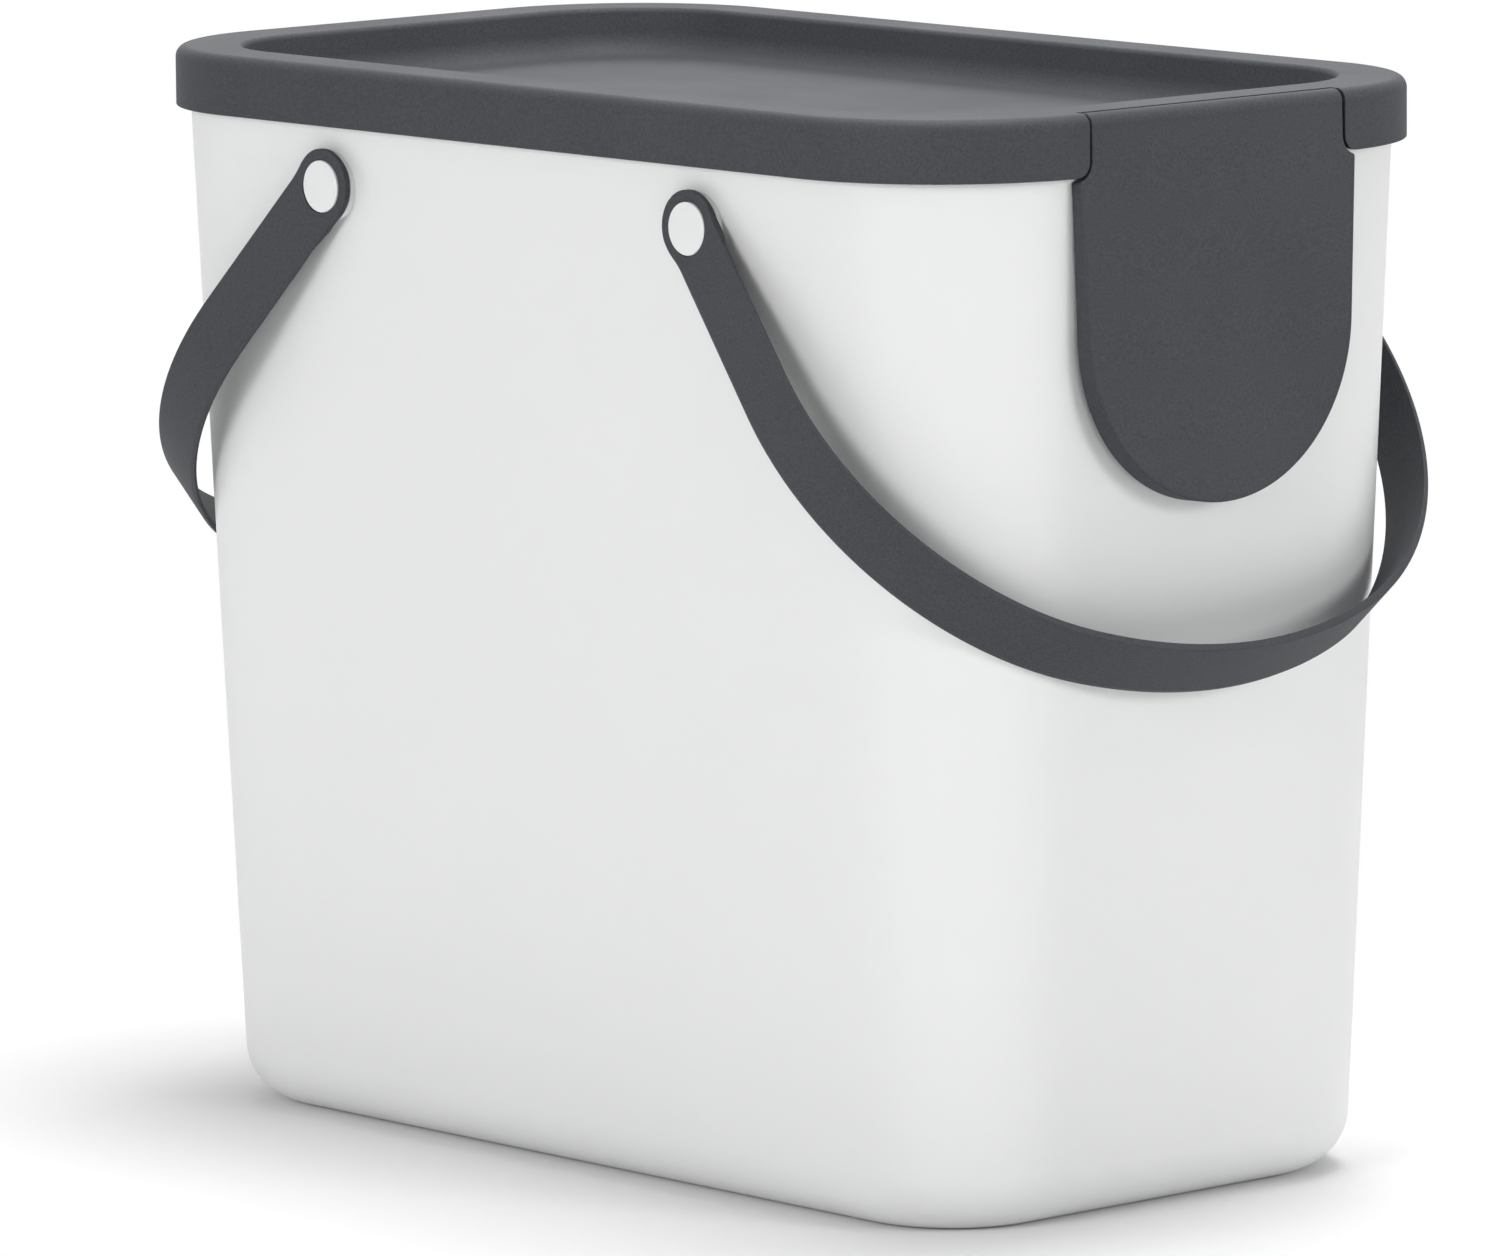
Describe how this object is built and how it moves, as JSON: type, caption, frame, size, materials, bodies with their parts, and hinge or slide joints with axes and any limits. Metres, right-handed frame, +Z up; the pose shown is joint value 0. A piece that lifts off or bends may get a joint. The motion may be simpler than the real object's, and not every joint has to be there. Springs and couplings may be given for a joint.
{
  "type": "waste sorting bin",
  "caption": "Tapered, rounded waste bin with an overhanging tray lid, a round-ended throw-in flap at one end and swinging bow handles.",
  "frame": {"origin": "on the floor, under the middle of the bin", "axes": "+Z up; the flap is at the -Y end, and X runs across the bin's width, so +X is on the right as seen from the flap's side"},
  "size_m": [0.2492, 0.4346, 0.346],
  "materials": {
    "white_plastic": "satin moulded",
    "dark_plastic": "fine grained matt"
  },
  "bodies": {
    "bin": {"bin_body": "white_plastic", "front_left_button": "white_plastic", "front_right_button": "white_plastic", "rear_left_button": "white_plastic", "rear_right_button": "white_plastic"},
    "lid": {"lid": "dark_plastic"},
    "flap": {"flap": "dark_plastic"},
    "front_handle": {"front_handle": "dark_plastic"},
    "rear_handle": {"rear_handle": "dark_plastic"}
  },
  "joints": [
    {"name": "lid_lift", "type": "slide", "parent": "bin", "child": "lid", "axis": [0, -0.0558, 0.9984], "range_m": [0, 0.04]},
    {"name": "flap_hinge", "type": "hinge", "parent": "lid", "child": "flap", "pos_m": [0, -0.1962, 0.3422], "axis": [-1, 0, 0], "range_deg": [0, 105]},
    {"name": "front_handle_swing", "type": "hinge", "parent": "bin", "child": "front_handle", "pos_m": [0, -0.0875, 0.3076], "axis": [-1, 0, 0], "range_deg": [0, 160]},
    {"name": "rear_handle_swing", "type": "hinge", "parent": "bin", "child": "rear_handle", "pos_m": [0, 0.0875, 0.3076], "axis": [1, 0, 0], "range_deg": [0, 160]}
  ]
}
